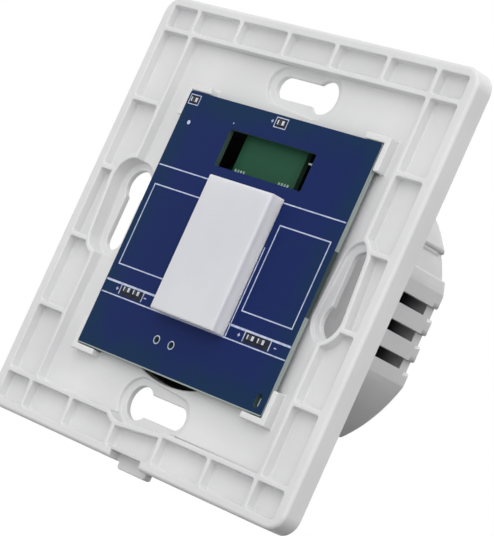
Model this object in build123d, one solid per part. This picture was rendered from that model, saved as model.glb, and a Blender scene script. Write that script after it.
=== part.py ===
"""Two-zone touch light switch without its glass front: base frame, boards, clamps and rear housing.

Millimetres. X is right, Y points into the wall, Z is up. The origin is the middle of the wall plane,
which the rim of the base frame rests on, so the front of the frame is at negative Y.
"""
import os

from build123d import *

# base frame
FRAME_SIDE = 82.0
FRAME_CORNER_R = 3.5
FRAME_DEPTH = 4.2
FRAME_EDGE_R = 0.7
RIM_X, RIM_Z = 2.3, 1.8
RIB = 0.95
POCKET_DEPTH = 2.0
POCKET_CORNER_R = 0.5
BED_DEPTH = 2.1
BED_X = (-30.5, 31.3)
BED_Z = (-33.4, 34.1)
BED_CORNER_R = 0.6
RIBS_ACROSS_X = (6.3, 19.4, 31.5)
RIBS_ACROSS_Z = (6.8, 20.6)
BACK_RELIEF = 0.4
BACK_LIP = 1.6
BACK_EDGE = 0.35
OPENING_R = 25.1
ROUND_DROP = 0.7

# keyhole slots for the wall-box screws, turned four ways round the centre
SCREW_CIRCLE_R = 30.3
SLOT_HALF_WIDTH = 2.08
HEAD_R = 3.14
SLOT_END = -4.9
HEAD_CENTRE = 5.5
SEAT_HEAD_R = 4.4
SEAT_TAIL_R = 3.5
SEAT_DEPTH = 3.0
SEAT_TO_HOUSING = 0.25

# release notch and tongue in the bottom edge
NOTCH_X = 0.1
NOTCH_WIDTH = 8.2
NOTCH_RISE = 1.4
TONGUE_X = 0.3
TONGUE_WIDTH = 7.7
TONGUE_DROP = 1.2
TONGUE_THICK = 1.7
TONGUE_ROOT = 1.0
TONGUE_CORNER_R = 0.6

# touch board and what stands on it
BOARD_X, BOARD_Z = 50.7, 49.4
BOARD_SHIFT = 1.2
BOARD_THICK = 1.0
BOARD_FRONT = -FRAME_DEPTH
BOARD_BACK = BOARD_FRONT + BOARD_THICK
BOARD_FIT = 0.15
BOARD_CORNER_R = 0.5
RETAINER_WIDTH = 1.2
RETAINER_LEG = 6.2
STANDOFF_SIDE = 3.0
WINDOW = (23.0, 7.0)
WINDOW_CENTRE = (0.25, 16.4)
WINDOW_CORNER_R = 0.4
PLATED_HOLES = ((-6.0, -19.25), (-2.0, -19.25))
PLATED_HOLE_R = 0.6
KEY_SLOT = (1.3, 2.5)
KEY_SLOT_CENTRE = (23.2, -22.4)
COVER = (17.0, 25.4)
COVER_CENTRE = (0.7, -1.95)
COVER_RISE = 3.2
COVER_WALL = 0.9
COVER_EDGE_R = 0.5
CHIP = (9.9, 3.9, 1.5)
CHIP_LEGS = 8
CHIP_PITCH = 1.0
CHIP_LEG = (0.4, 1.0, 0.2)
LED_BODY = (1.6, 0.8, 0.35)
LED_LENS_SHARE = 0.42
ZONE_LEDS = ((-18.75, -13.0), (-16.05, -13.0), (15.5, -13.2), (18.2, -13.2))
STATUS_LEDS = ((-23.45, 23.15), (0.3, 23.35))

# radio board seen through the window
RADIO_SIZE = (16.4, 10.4)
RADIO_CENTRE = (0.4, 16.4)
RADIO_FRONT = -1.9
RADIO_THICK = 1.0
RADIO_CORNER_R = 0.3
SHIELD_SIZE = (11.0, 8.0, 2.2)
SHIELD_WALL = 0.3
SHIELD_EDGE = 0.5
SHIELD_RAISED = 1.0
RADIO_PIN_Z = 12.2

# rear housing
HOUSING_R = 26.25
HOUSING_FLAT_X = 24.8
HOUSING_FLAT_Z = 21.5
HOUSING_DEPTH = 26.2
HOUSING_WALL = 1.5
HOUSING_CORNER_R = 1.0
HOUSING_EDGE_R = 0.8
SHOULDER_DEPTH = 5.4
EAR_PLACE = 20.6
EAR_R = 3.0
EAR_DEPTH = 7.0
EAR_WEB = 0.86
EAR_FLOOR = 0.8
VENT_WIDTH = 2.05
VENT_PITCH = 5.05
VENT_MIDDLE = -0.77
VENT_START = 7.0
VENT_NOTCH = 1.9
VENT_CUT = 4.2
VENT_NOTCH_CUT = 1.25
VENT_MOUTH_R = 1.0
GROOVE_Z = (10.3, 14.7)
GROOVE_DEPTH = 1.0
GROOVE_LIP_R = 0.6

# screws that join the housing to the frame
TAP_R = 1.25
TAP_CLEAR_R = 1.4
TAP_HEAD_R = 2.1
TAP_HEAD = 1.2
TAP_LENGTH = 6.0
TAP_SUNK = 0.1
COUNTERBORE_R = 2.4
CROSS_RECESS = (2.0, 0.5, 0.6)

# power board and its parts
POWER_FRONT = 6.4
POWER_THICK = 1.6
POWER_BACK = POWER_FRONT + POWER_THICK
POWER_GAP = 0.5
LEDGE_REACH = 1.6
LEDGE_WIDTH = 3.0
LEDGE_ANGLES = (38, 142, 215, 325)
RELAY = (10.2, 15.0, 18.4)
RELAY_X, RELAY_Z = 7.4, 9.0
RELAY_VENT = (3.0, 0.6, 0.3)
RELAY_VENT_RISE = 2.0
RELAY_FOOT = 0.4
RELAY_FOOT_INSET = 0.5
RELAY_EDGE = 0.6
CAPACITOR_R, CAPACITOR_LENGTH = 4.0, 11.5
CAPACITOR_PLACE = (17.2, -1.5)
CAPACITOR_EDGE = 0.5
CAPACITOR_GROOVE = (1.2, 2.0, 0.3)
CAPACITOR_SCORE = (0.3, 0.2)
CORE = (9.0, 4.5, 12.0)
COIL_R, COIL_LENGTH = 3.6, 8.5
CORE_WEB = 2.4
TRANSFORMER_PLACE = (-17.2, -3.5)
FUSE_R, FUSE_LENGTH = 2.0, 8.0
FUSE_PLACE = (-15.8, 9.5)
VARISTOR_R, VARISTOR_THICK = 3.6, 3.4
VARISTOR_PLACE = (16.5, 10.0)
LEAD_R = 0.35
LEAD_RISE = 1.0
FUSE_CAP_LENGTH, FUSE_CAP_SHARE = 1.0, 0.6
VARISTOR_EDGE = 0.9
VARISTOR_LEAD_Z = 1.6

# plug-in link between the two boards
LINK_PINS = 6
LINK_PITCH = 2.0
LINK_PLACE = (0.0, -7.5)
LINK_BODY = 2.4
LINK_HEADER_DEPTH = 2.2
LINK_PIN = 0.5
LINK_TIP_GAP = 1.0
LINK_JOIN_GAP = 0.2

# rising-cage screw terminals along the bottom of the housing
WAYS = 4
WAY_PITCH = 6.4
BLOCK_HALF_X = 12.9
BLOCK_TOP_Z = -10.6
BLOCK_FIT = 0.15
BLOCK_EDGE = 0.4
SCREW_Z = -16.0
WELL_R = 2.6
SCREW_HEAD_R = 2.3
SCREW_HEAD = 2.0
SCREW_SUNK = 1.0
SCREW_R = 1.2
SCREW_HOLE_R = 1.5
SCREW_EDGE = 0.4
SCREW_TO_BAR = 0.25
NECK = 1.5
CAGE = (5.0, 7.0, 4.8)
CAGE_WALL = 0.7
CAGE_FLOOR = 1.0
CAGE_NUT = 1.4
CAGE_TRAVEL = 1.8
CAGE_FIT = 0.2
CAGE_EDGE_R = 0.5
THREAD_HOLE_R = 1.25
BAR_THICK, BAR_WIDTH = 0.8, 2.6
BAR_FIT = 0.1
BAR_TO_NUT = 0.3
BAR_TO_CAGE = 0.3
BAR_TO_CHAMBER = 0.5
BAR_TAIL = 0.8
WIRE_R = 1.75
DRIVE_SLOT = (0.7, 0.9)

FRONT = -FRAME_DEPTH
BED = FRONT + BED_DEPTH
PLATE_BACK = -BACK_RELIEF
HALF = FRAME_SIDE / 2
POCKET_X = HALF - RIM_X
POCKET_Z = HALF - RIM_Z
TONGUE_FRONT = -TONGUE_THICK
REAR = HOUSING_DEPTH
BLOCK_FRONT = POWER_BACK
SCREW_SEAT = REAR - SCREW_SUNK - SCREW_HEAD
CHAMBER_BACK = SCREW_SEAT - NECK
CAGE_REAR = CHAMBER_BACK - CAGE_FIT - CAGE_TRAVEL
CAGE_FRONT = CAGE_REAR - CAGE[1]
BAR_BACK = CAGE_REAR - CAGE_NUT - BAR_TO_NUT
BAR_FRONT = BAR_BACK - BAR_THICK
WIRE_Y = (CAGE_FRONT + CAGE_FLOOR + BAR_FRONT) / 2
BLOCK_BOTTOM = -HOUSING_FLAT_Z


def slab(sketch, y_front, y_back):
    """Extrude a sketch, drawn with X right and Z up, from y_front to y_back."""
    return extrude(Plane.XZ.offset(-y_back) * sketch, y_back - y_front)


def block(x, z, y_front, y_back, size_x, size_z):
    """Rectangular bar centred on x and z."""
    return slab(Pos(x, z) * Rectangle(size_x, size_z), y_front, y_back)


def rod(x, z, y_front, y_back, radius):
    """Round bar along Y."""
    return slab(Pos(x, z) * Circle(radius), y_front, y_back)


def keyhole():
    """Outline of the top keyhole slot, with its round head towards +X."""
    middle = (SLOT_END + HEAD_CENTRE) / 2
    length = HEAD_CENTRE - SLOT_END
    slot = Pos(middle, 0) * SlotCenterToCenter(length, 2 * SLOT_HALF_WIDTH)
    return Pos(0, SCREW_CIRCLE_R) * (slot + Pos(HEAD_CENTRE, 0) * Circle(HEAD_R))


def keyhole_seat(grow=0.0):
    """Tapered outline of the sunk seat round the top keyhole slot, grown all round by grow."""
    head = Pos(HEAD_CENTRE, SCREW_CIRCLE_R) * Circle(SEAT_HEAD_R + grow)
    tail = Pos(SLOT_END, SCREW_CIRCLE_R) * Circle(SEAT_TAIL_R + grow)
    return make_hull(head.edges() + tail.edges())


def four_ways(sketch):
    """The sketch turned to the top, right, bottom and left of the frame."""
    return [Rot(0, 0, -90 * turn) * sketch for turn in range(4)]


def cells(stops, low, high, upright):
    """Pocket outlines between neighbouring ribs at the given stops, from low to high across them."""
    outline = Sketch()
    for near, far in zip(stops, stops[1:]):
        start = near + (RIB / 2 if abs(near) < POCKET_X else 0)
        end = far - (RIB / 2 if abs(far) < POCKET_X else 0)
        place, size = ((start + end) / 2, (low + high) / 2), (end - start, high - low)
        if upright:
            place, size = place[::-1], size[::-1]
        outline += Pos(*place) * RectangleRounded(*size, POCKET_CORNER_R)
    return outline


def bed_outline():
    """Outline of the sunk bed round the touch board."""
    middle = Pos((BED_X[0] + BED_X[1]) / 2, (BED_Z[0] + BED_Z[1]) / 2)
    return middle * RectangleRounded(BED_X[1] - BED_X[0], BED_Z[1] - BED_Z[0], BED_CORNER_R)


def border_pockets():
    """Grid of pockets round the border, kept clear of the walls that go round the keyholes."""
    inner = [-x for x in RIBS_ACROSS_X[::-1]] + list(RIBS_ACROSS_X)
    row_stops = [-POCKET_X] + inner + [POCKET_X]
    side = [-z for z in RIBS_ACROSS_Z[::-1]] + list(RIBS_ACROSS_Z)
    column_stops = [BED_Z[0] - RIB / 2] + side + [BED_Z[1] + RIB / 2]
    grid = cells(row_stops, BED_Z[1] + RIB, POCKET_Z, False)
    grid += cells(row_stops, -POCKET_Z, BED_Z[0] - RIB, False)
    grid += cells(column_stops, BED_X[1] + RIB, POCKET_X, True)
    grid += cells(column_stops, -POCKET_X, BED_X[0] - RIB, True)
    for wall in four_ways(keyhole_seat(RIB))[1:]:
        grid -= wall
    return grid


def board_corners():
    """Centres of the touch board's corners as (x, z, side in x, side in z)."""
    return [(BOARD_SHIFT + sx * BOARD_X / 2, sz * BOARD_Z / 2, sx, sz) for sx in (-1, 1) for sz in (-1, 1)]


def retainer(x, z, sx, sz):
    """L-shaped wall that holds one corner of the touch board, on the bed."""
    width = RETAINER_WIDTH
    out_x = x + sx * (BOARD_FIT + width / 2)
    out_z = z + sz * (BOARD_FIT + width / 2)
    leg_z = block(out_x, out_z - sz * (RETAINER_LEG - width) / 2, FRONT, BED, width, RETAINER_LEG)
    leg_x = block(out_x - sx * (RETAINER_LEG - width) / 2, out_z, FRONT, BED, RETAINER_LEG, width)
    return leg_z + leg_x


def ear_places():
    """Places of the four screws that join the housing to the frame."""
    return [(sx * EAR_PLACE, sz * EAR_PLACE) for sx in (-1, 1) for sz in (-1, 1)]


def make_base_frame():
    """Moulded frame with ribbed border, keyhole slots, board retainers, release notch and tongue."""
    frame = slab(RectangleRounded(FRAME_SIDE, FRAME_SIDE, FRAME_CORNER_R), FRONT, 0)
    front_edges = frame.faces().sort_by(Axis.Y)[0].edges()
    frame = fillet(front_edges, FRAME_EDGE_R)
    frame = chamfer(frame.faces().sort_by(Axis.Y)[-1].edges(), BACK_EDGE)
    back_side = FRAME_SIDE - 2 * BACK_LIP
    frame -= slab(RectangleRounded(back_side, back_side, FRAME_CORNER_R - BACK_LIP), PLATE_BACK, 0)
    for seat in four_ways(keyhole_seat()):
        frame += slab(seat - shoulder_plan(-SEAT_TO_HOUSING), PLATE_BACK, 0)
    frame -= slab(border_pockets(), FRONT, FRONT + POCKET_DEPTH)
    frame -= slab(bed_outline(), FRONT, BED)
    for turn, seat in enumerate(four_ways(keyhole_seat())):
        outline = seat & bed_outline() if turn == 0 else seat
        frame -= slab(outline, FRONT, FRONT + SEAT_DEPTH)
    for outline in four_ways(keyhole()):
        frame -= slab(outline, FRONT, 0)
    frame -= rod(0, -ROUND_DROP, FRONT, 0, OPENING_R)
    for x, z in ear_places():
        frame -= rod(x, z, BED, 0, TAP_CLEAR_R)
        frame -= rod(x, z, BED, BED + TAP_HEAD, COUNTERBORE_R)
    for x, z, sx, sz in board_corners():
        frame += retainer(x, z, sx, sz)
        inset = STANDOFF_SIDE / 2
        frame += block(x - sx * inset, z - sz * inset, BOARD_BACK, BED, STANDOFF_SIDE, STANDOFF_SIDE)
    frame -= block(NOTCH_X, -HALF + NOTCH_RISE / 2, FRONT, TONGUE_FRONT, NOTCH_WIDTH, NOTCH_RISE)
    tongue_z = -HALF + (TONGUE_ROOT - TONGUE_DROP) / 2
    tongue_height = TONGUE_DROP + TONGUE_ROOT
    tongue = block(TONGUE_X, tongue_z, TONGUE_FRONT, 0, TONGUE_WIDTH, tongue_height)
    lower = tongue.faces().sort_by(Axis.Z)[0].edges().filter_by(Axis.Y)
    return frame + fillet(lower, TONGUE_CORNER_R)


def make_touch_board():
    """Touch board with the window in front of the radio, plated holes and a key slot."""
    outline = Pos(BOARD_SHIFT, 0) * RectangleRounded(BOARD_X, BOARD_Z, BOARD_CORNER_R)
    window_x, window_z = WINDOW_CENTRE
    outline -= Pos(window_x + BOARD_SHIFT, window_z) * RectangleRounded(*WINDOW, WINDOW_CORNER_R)
    for x, z in PLATED_HOLES:
        outline -= Pos(x + BOARD_SHIFT, z) * Circle(PLATED_HOLE_R)
    slot_width, slot_length = KEY_SLOT
    slot_x, slot_z = KEY_SLOT_CENTRE
    outline -= Pos(slot_x + BOARD_SHIFT, slot_z) * Rot(0, 0, 90) * SlotOverall(slot_length, slot_width)
    return slab(outline, BOARD_FRONT, BOARD_BACK)


def make_centre_cover():
    """White cap over the touch controller, open towards the board."""
    x, z = COVER_CENTRE
    width, height = COVER
    front = BOARD_FRONT - COVER_RISE
    cap = block(x + BOARD_SHIFT, z, front, BOARD_FRONT, width, height)
    face = cap.faces().sort_by(Axis.Y)[0]
    cap = fillet(face.edges(), COVER_EDGE_R)
    inner_x, inner_z = width - 2 * COVER_WALL, height - 2 * COVER_WALL
    return cap - block(x + BOARD_SHIFT, z, front + COVER_WALL, BOARD_FRONT, inner_x, inner_z)


def make_touch_chip():
    """Touch controller under the cap: body with a row of legs on each side."""
    length, width, height = CHIP
    x, z = COVER_CENTRE[0] + BOARD_SHIFT, COVER_CENTRE[1]
    leg_width, leg_reach, foot = CHIP_LEG
    chip = block(x, z, BOARD_FRONT - height, BOARD_FRONT - foot, length, width)
    for index in range(CHIP_LEGS):
        leg_x = x + (index - (CHIP_LEGS - 1) / 2) * CHIP_PITCH
        chip += block(leg_x, z, BOARD_FRONT - foot, BOARD_FRONT, leg_width, width + 2 * leg_reach)
    return chip


def led_group(places):
    """Small indicator lamps soldered to the front of the touch board."""
    width, height, rise = LED_BODY
    lamps = []
    for x, z in places:
        base = block(x + BOARD_SHIFT, z, BOARD_FRONT - rise / 2, BOARD_FRONT, width, height)
        lens_width = width * LED_LENS_SHARE
        lens = block(x + BOARD_SHIFT, z, BOARD_FRONT - rise, BOARD_FRONT - rise / 2, lens_width, height)
        lamps.append(base + lens)
    return Compound(children=lamps)


def link_pin_places():
    """Places of the link's pins, in one row along X."""
    x, z = LINK_PLACE
    return [(x + (index - (LINK_PINS - 1) / 2) * LINK_PITCH, z) for index in range(LINK_PINS)]


def link_body(y_front, y_back, bore):
    """Plastic strip of the link, with a square passage round each pin."""
    x, z = LINK_PLACE
    strip = block(x, z, y_front, y_back, LINK_PINS * LINK_PITCH, LINK_BODY)
    for pin_x, pin_z in link_pin_places():
        strip -= block(pin_x, pin_z, y_front, y_back, bore, bore)
    return strip


def make_link_pins():
    """Square pins that run from the touch board into the socket of the power board."""
    tip = POWER_FRONT - LINK_TIP_GAP
    pins = [block(x, z, BOARD_BACK, tip, LINK_PIN, LINK_PIN) for x, z in link_pin_places()]
    return Compound(children=pins)


def make_radio_board():
    """Small radio board behind the window of the touch board."""
    x, z = RADIO_CENTRE
    outline = Pos(x, z) * RectangleRounded(*RADIO_SIZE, RADIO_CORNER_R)
    return slab(outline, RADIO_FRONT, RADIO_FRONT + RADIO_THICK)


def make_radio_shield():
    """Drawn metal can over the radio chip, on the back of the radio board."""
    width, height, depth = SHIELD_SIZE
    x, z = RADIO_CENTRE[0], RADIO_CENTRE[1] + SHIELD_RAISED
    back = RADIO_FRONT + RADIO_THICK
    can = block(x, z, back, back + depth, width, height)
    can = chamfer(can.faces().sort_by(Axis.Y)[-1].edges(), SHIELD_EDGE)
    inner_x, inner_z = width - 2 * SHIELD_WALL, height - 2 * SHIELD_WALL
    return can - block(x, z, back, back + depth - SHIELD_EDGE, inner_x, inner_z)


def make_radio_pins():
    """Pins that carry the radio board on the power board."""
    pins = []
    for index in range(LINK_PINS):
        x = RADIO_CENTRE[0] + (index - (LINK_PINS - 1) / 2) * LINK_PITCH
        pins.append(block(x, RADIO_PIN_Z, RADIO_FRONT + RADIO_THICK, POWER_FRONT, LINK_PIN, LINK_PIN))
    return Compound(children=pins)


def shoulder_plan(inset):
    """Plan of the housing's shoulder: a circle with flats at both sides, moved in by inset."""
    radius = HOUSING_R - inset
    return Pos(0, -ROUND_DROP) * Circle(radius) & Rectangle(2 * (HOUSING_FLAT_X - inset), 3 * radius)


def housing_plan(inset):
    """Plan of the housing: a circle with flats at both sides and at the bottom, moved in by inset."""
    low, high = inset - HOUSING_FLAT_Z, HOUSING_R
    above_flat = Pos(0, (low + high) / 2) * Rectangle(2 * HOUSING_R, high - low)
    plan = shoulder_plan(inset) & above_flat
    return fillet(plan.vertices(), HOUSING_CORNER_R)


def vent_places():
    """Heights of the three vent slots in each flank."""
    return [VENT_MIDDLE + step * VENT_PITCH for step in (-1, 0, 1)]


def groove_plan(side):
    """Plan of the finger groove that follows the round wall above the vents, with rounded lips."""
    low, high = GROOVE_Z
    band = Pos(HOUSING_R, (low + high) / 2) * Rectangle(HOUSING_R, high - low)
    plan = band - Pos(0, -ROUND_DROP) * Circle(HOUSING_R - GROOVE_DEPTH)
    reach = HOUSING_R - GROOVE_LIP_R
    for edge, lip_z in ((low, low - GROOVE_LIP_R), (high, high + GROOVE_LIP_R)):
        rise = lip_z + ROUND_DROP
        lip_x = (reach**2 - rise**2) ** 0.5
        touch = lip_z + GROOVE_LIP_R * rise / reach
        wedge = Pos(lip_x + HOUSING_R / 2, (edge + touch) / 2) * Rectangle(HOUSING_R, abs(edge - touch))
        plan += wedge - Pos(lip_x, lip_z) * Circle(GROOVE_LIP_R)
    return plan if side > 0 else mirror(plan, Plane.YZ)


def vent_mouth():
    """Outline of the notch at the rear end of a vent, with its mouth rounded to both sides."""
    mouth = Rectangle(2 * VENT_NOTCH_CUT, VENT_WIDTH)
    mouth += Rectangle(2 * VENT_MOUTH_R, VENT_WIDTH + 2 * VENT_MOUTH_R)
    for side in (-1, 1):
        for end in (-1, 1):
            mouth -= Pos(side * VENT_MOUTH_R, end * (VENT_WIDTH / 2 + VENT_MOUTH_R)) * Circle(VENT_MOUTH_R)
    return mouth


def make_rear_housing():
    """Moulded cup behind the frame, with vents and grooves in its flanks and a corner for the terminals."""
    cup = slab(housing_plan(0), PLATE_BACK, REAR)
    cup = fillet(cup.faces().sort_by(Axis.Y)[-1].edges(), HOUSING_EDGE_R)
    cup += slab(shoulder_plan(0), PLATE_BACK, SHOULDER_DEPTH)
    for x, z in ear_places():
        ear = rod(x, z, PLATE_BACK, EAR_DEPTH, EAR_R)
        cup += ear + rod(x * EAR_WEB, z * EAR_WEB, PLATE_BACK, EAR_DEPTH, EAR_R)
    cup -= slab(shoulder_plan(HOUSING_WALL), PLATE_BACK, SHOULDER_DEPTH - HOUSING_WALL)
    cup -= slab(housing_plan(HOUSING_WALL), PLATE_BACK, REAR - HOUSING_WALL)
    for x, z in ear_places():
        cup -= rod(x, z, PLATE_BACK, EAR_DEPTH - EAR_FLOOR, TAP_R)
    for side in (-1, 1):
        cup -= slab(groove_plan(side), EAR_DEPTH, REAR)
        for z in vent_places():
            vent_back = REAR - VENT_NOTCH
            flank = side * HOUSING_FLAT_X
            cup -= block(flank, z, VENT_START, vent_back, 2 * VENT_CUT, VENT_WIDTH)
            cup -= slab(Pos(flank, z) * vent_mouth(), vent_back, REAR)
    cup += housing_ledges()
    gap_x = 2 * (BLOCK_HALF_X + BLOCK_FIT)
    gap_top = BLOCK_TOP_Z + BLOCK_FIT
    cup -= block(0, (gap_top - HOUSING_R) / 2, BLOCK_FRONT, REAR, gap_x, gap_top + HOUSING_R)
    return cup


def housing_ledges():
    """Four ribs inside the wall that carry the power board, at the diagonals."""
    outer, reach = HOUSING_R - HOUSING_WALL / 2, HOUSING_R - HOUSING_WALL - LEDGE_REACH
    ring = Pos(0, -ROUND_DROP) * (Circle(outer) - Circle(reach))
    ledges = Part()
    for angle in LEDGE_ANGLES:
        bar = Rot(0, 0, angle) * Pos(HOUSING_R / 2, 0) * Rectangle(HOUSING_R, LEDGE_WIDTH)
        ledges += slab(ring & bar & housing_plan(HOUSING_WALL / 2), POWER_BACK, REAR - HOUSING_WALL)
    return ledges


def make_housing_screws():
    """Four self-tapping screws from the bed of the frame into the housing's ears."""
    length, width, depth = CROSS_RECESS
    screws = []
    for x, z in ear_places():
        top = BED + TAP_SUNK
        screw = rod(x, z, top, BED + TAP_HEAD, TAP_HEAD_R)
        screw += rod(x, z, BED + TAP_HEAD, BED + TAP_HEAD + TAP_LENGTH, TAP_R)
        screw -= block(x, z, top, top + depth, length, width)
        screw -= block(x, z, top, top + depth, width, length)
        screws.append(screw)
    return Compound(children=screws)


def make_power_board():
    """Power board across the housing, with passages for the legs of the contact bars."""
    outline = housing_plan(HOUSING_WALL + POWER_GAP)
    board = slab(outline, POWER_FRONT, POWER_BACK)
    for x in way_places():
        passage_x, passage_z = BAR_WIDTH + 2 * BAR_FIT, BAR_THICK + 2 * BAR_FIT
        board -= block(x, bar_leg_z(), POWER_FRONT, POWER_BACK, passage_x, passage_z)
    return board


def make_relay(side):
    """Sealed relay with a vent slit in its rear face and a rib round its foot."""
    width, depth, height = RELAY
    x, z = side * RELAY_X, RELAY_Z
    rear = POWER_BACK + depth
    foot = POWER_BACK + RELAY_FOOT
    case = block(x, z, foot, rear, width, height)
    case = chamfer(case.faces().sort_by(Axis.Y)[-1].edges(), RELAY_EDGE)
    inset = 2 * RELAY_FOOT_INSET
    case += block(x, z, POWER_BACK, foot, width - inset, height - inset)
    slit_length, slit_width, sunk = RELAY_VENT
    slit_z = z - height / 2 + RELAY_VENT_RISE
    return case - block(x, slit_z, rear - sunk, rear, slit_length, slit_width)


def make_capacitor():
    """Electrolytic capacitor with its rolled groove and scored top."""
    x, z = CAPACITOR_PLACE
    rear = POWER_BACK + CAPACITOR_LENGTH
    can = rod(x, z, POWER_BACK, rear, CAPACITOR_R)
    can = chamfer(can.faces().sort_by(Axis.Y)[-1].edges(), CAPACITOR_EDGE)
    start, end, sunk = CAPACITOR_GROOVE
    ring = Pos(x, z) * (Circle(CAPACITOR_R) - Circle(CAPACITOR_R - sunk))
    can -= slab(ring, POWER_BACK + start, POWER_BACK + end)
    width, depth = CAPACITOR_SCORE
    can -= block(x, z, rear - depth, rear, CAPACITOR_R, width)
    return can - block(x, z, rear - depth, rear, width, CAPACITOR_R)


def make_transformer():
    """Small transformer: square ferrite core with two flanges round a wound coil."""
    x, z = TRANSFORMER_PLACE
    width, flange, height = CORE[0], CORE[1] / 2, CORE[2]
    rear = POWER_BACK + 2 * flange + COIL_LENGTH
    body = block(x, z, POWER_BACK, POWER_BACK + flange, width, height)
    body += block(x, z, rear - flange, rear, width, height)
    body += rod(x, z, POWER_BACK, rear, COIL_R)
    return body + block(x, z, POWER_BACK, rear, width, CORE_WEB)


def make_fuse():
    """Axial fuse lying along Z, held off the board by its two bent leads."""
    x, z = FUSE_PLACE
    y = POWER_BACK + LEAD_RISE + FUSE_R
    body = Pos(x, y, z) * Cylinder(FUSE_R, FUSE_LENGTH)
    for end in (-1, 1):
        cap_z = z + end * (FUSE_LENGTH + FUSE_CAP_LENGTH) / 2
        body += Pos(x, y, cap_z) * Cylinder(FUSE_R * FUSE_CAP_SHARE, FUSE_CAP_LENGTH)
        body += block(x, cap_z, POWER_BACK, y, 2 * LEAD_R, 2 * LEAD_R)
    return body


def make_varistor():
    """Disc varistor standing on its two leads."""
    x, z = VARISTOR_PLACE
    y = POWER_BACK + LEAD_RISE + VARISTOR_R
    disc = Pos(x, y, z) * Rot(0, 90, 0) * Cylinder(VARISTOR_R, VARISTOR_THICK)
    disc = chamfer(disc.edges().filter_by(GeomType.CIRCLE), VARISTOR_EDGE)
    for end in (-1, 1):
        disc += rod(x, z + end * VARISTOR_LEAD_Z, POWER_BACK, y, LEAD_R)
    return disc


def way_places():
    """X of each terminal way, from left to right as seen from the front."""
    return [(index - (WAYS - 1) / 2) * WAY_PITCH for index in range(WAYS)]


def bar_leg_z():
    """Z of the leg of each contact bar that goes down to the power board."""
    return SCREW_Z + CAGE[2] / 2 + CAGE_FIT + BAR_TO_CHAMBER + BAR_THICK / 2


def make_terminal_block():
    """Moulded terminal block: per way a screw well, a cage chamber, a bar slot and a wire entry."""
    height = BLOCK_TOP_Z - BLOCK_BOTTOM
    body = block(0, BLOCK_BOTTOM + height / 2, BLOCK_FRONT, REAR, 2 * BLOCK_HALF_X, height)
    body = chamfer(body.faces().sort_by(Axis.Y)[-1].edges(), BLOCK_EDGE)
    chamber_x = CAGE[0] + 2 * CAGE_FIT
    chamber_z = CAGE[2] + 2 * CAGE_FIT
    chamber_front = CAGE_FRONT - CAGE_FIT
    for x in way_places():
        body -= rod(x, SCREW_Z, SCREW_SEAT, REAR, WELL_R)
        body -= rod(x, SCREW_Z, CHAMBER_BACK, SCREW_SEAT, SCREW_HOLE_R)
        body -= block(x, SCREW_Z, chamber_front, CHAMBER_BACK, chamber_x, chamber_z)
        slot_top = bar_leg_z() + BAR_THICK / 2 + BAR_FIT
        slot_low = SCREW_Z + chamber_z / 2 - BAR_FIT
        slot_mid, slot_height = (slot_top + slot_low) / 2, slot_top - slot_low
        slot_width = BAR_WIDTH + 2 * BAR_FIT
        body -= block(x, slot_mid, BLOCK_FRONT, BAR_BACK + BAR_FIT, slot_width, slot_height)
        entry = SCREW_Z - chamber_z / 2 - BLOCK_BOTTOM
        body -= Pos(x, WIRE_Y, BLOCK_BOTTOM + entry / 2) * Cylinder(WIRE_R, entry)
    return body


def make_contact_bars():
    """One bent brass bar per way: a tongue through the cage and a leg down to the power board."""
    bars = []
    tongue_low = SCREW_Z - CAGE[2] / 2 + BAR_TO_CAGE
    leg_z = bar_leg_z()
    for x in way_places():
        length = leg_z + BAR_THICK / 2 - tongue_low
        bar = block(x, tongue_low + length / 2, BAR_FRONT, BAR_BACK, BAR_WIDTH, length)
        bar += block(x, leg_z, POWER_FRONT - BAR_TAIL, BAR_BACK, BAR_WIDTH, BAR_THICK)
        bars.append(bar)
    return Compound(children=bars)


def make_terminal_screw(x):
    """Captive clamp screw with a slotted head, turned from behind."""
    screw = rod(x, SCREW_Z, SCREW_SEAT, SCREW_SEAT + SCREW_HEAD, SCREW_HEAD_R)
    screw = chamfer(screw.faces().sort_by(Axis.Y)[-1].edges(), SCREW_EDGE)
    screw += rod(x, SCREW_Z, BAR_BACK + SCREW_TO_BAR, SCREW_SEAT, SCREW_R)
    width, depth = DRIVE_SLOT
    top = SCREW_SEAT + SCREW_HEAD
    return screw - block(x, SCREW_Z, top - depth, top, 2 * SCREW_HEAD_R, width)


def make_clamp_cage(x):
    """Rising cage: bent steel box with a threaded rear wall, open from below to above for the wire."""
    width, length, height = CAGE
    cage = block(x, SCREW_Z, CAGE_FRONT, CAGE_REAR, width, height)
    cage = fillet(cage.edges().filter_by(Axis.Z), CAGE_EDGE_R)
    window_front = CAGE_FRONT + CAGE_FLOOR
    cage -= block(x, SCREW_Z, window_front, CAGE_REAR - CAGE_NUT, width - 2 * CAGE_WALL, height)
    return cage - rod(x, SCREW_Z, CAGE_REAR - CAGE_NUT, CAGE_REAR, THREAD_HOLE_R)


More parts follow.
